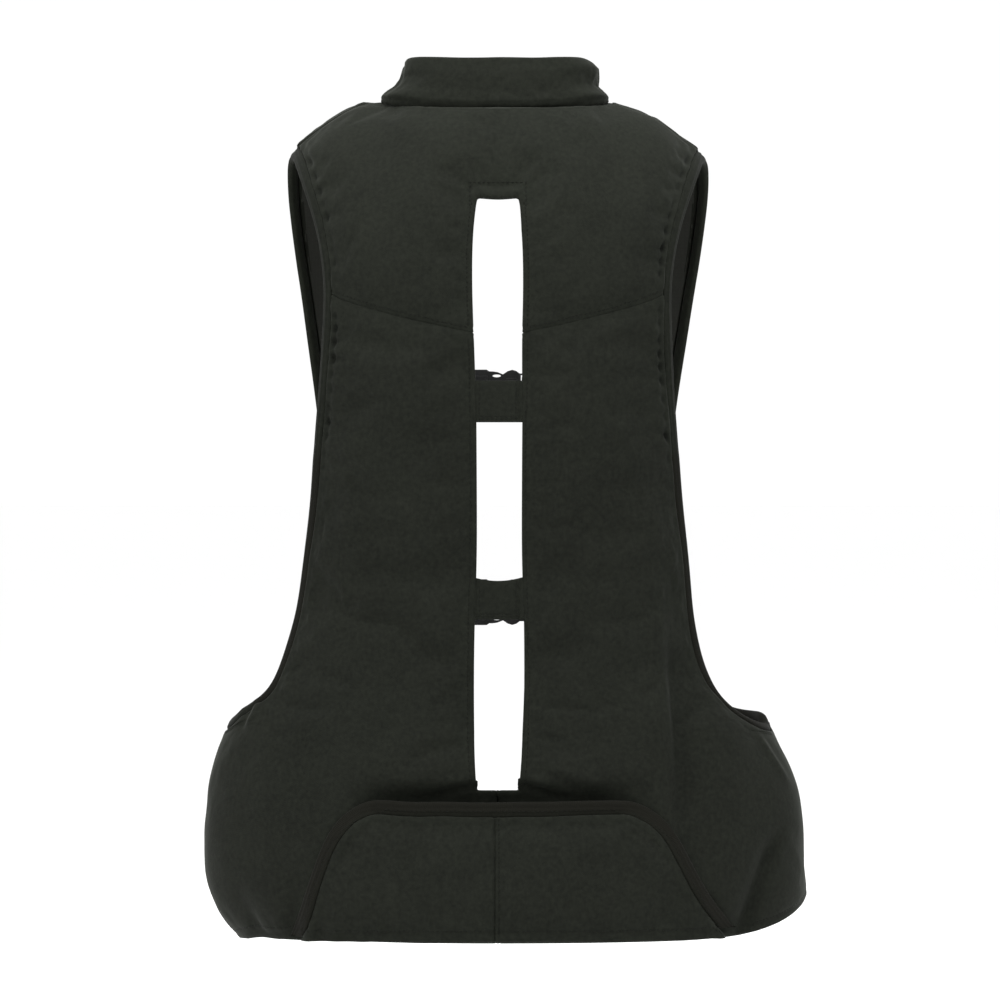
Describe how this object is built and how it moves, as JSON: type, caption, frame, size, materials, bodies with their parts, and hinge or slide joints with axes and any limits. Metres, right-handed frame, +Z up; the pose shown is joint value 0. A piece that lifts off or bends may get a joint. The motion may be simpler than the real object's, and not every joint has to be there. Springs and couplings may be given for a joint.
{
  "type": "airbag vest",
  "caption": "Padded airbag vest with a stand-up collar, slotted back, flared hip wings, a lumbar patch and webbing straps with side-release buckles at the front.",
  "frame": {"origin": "on the centre line of the torso opening, at the height where the shoulders carry the vest", "axes": "+Z up, +Y the way the wearer faces, +X the wearer's right; the back is on the -Y side"},
  "size_m": [0.4319, 0.2403, 0.6328],
  "materials": {
    "shell_cloth": "matt dark grey-green softshell cloth",
    "binding_tape": "black ribbed binding tape",
    "webbing": "black woven webbing",
    "buckle_plastic": "satin moulded black"
  },
  "bodies": {
    "root": {"back_panel_left": "shell_cloth", "back_panel_right": "shell_cloth", "yoke": "shell_cloth", "front_panel_left": "shell_cloth", "front_panel_right": "shell_cloth", "collar": "shell_cloth", "lumbar_panel": "shell_cloth", "bridge_upper": "shell_cloth", "bridge_lower": "shell_cloth", "armhole_binding_left": "binding_tape", "armhole_binding_right": "binding_tape", "lumbar_binding": "binding_tape", "strap_upper_left": "webbing", "strap_upper_right": "webbing", "strap_lower_left": "webbing", "strap_lower_right": "webbing", "buckle_upper": "buckle_plastic", "buckle_lower": "buckle_plastic"}
  },
  "joints": []
}
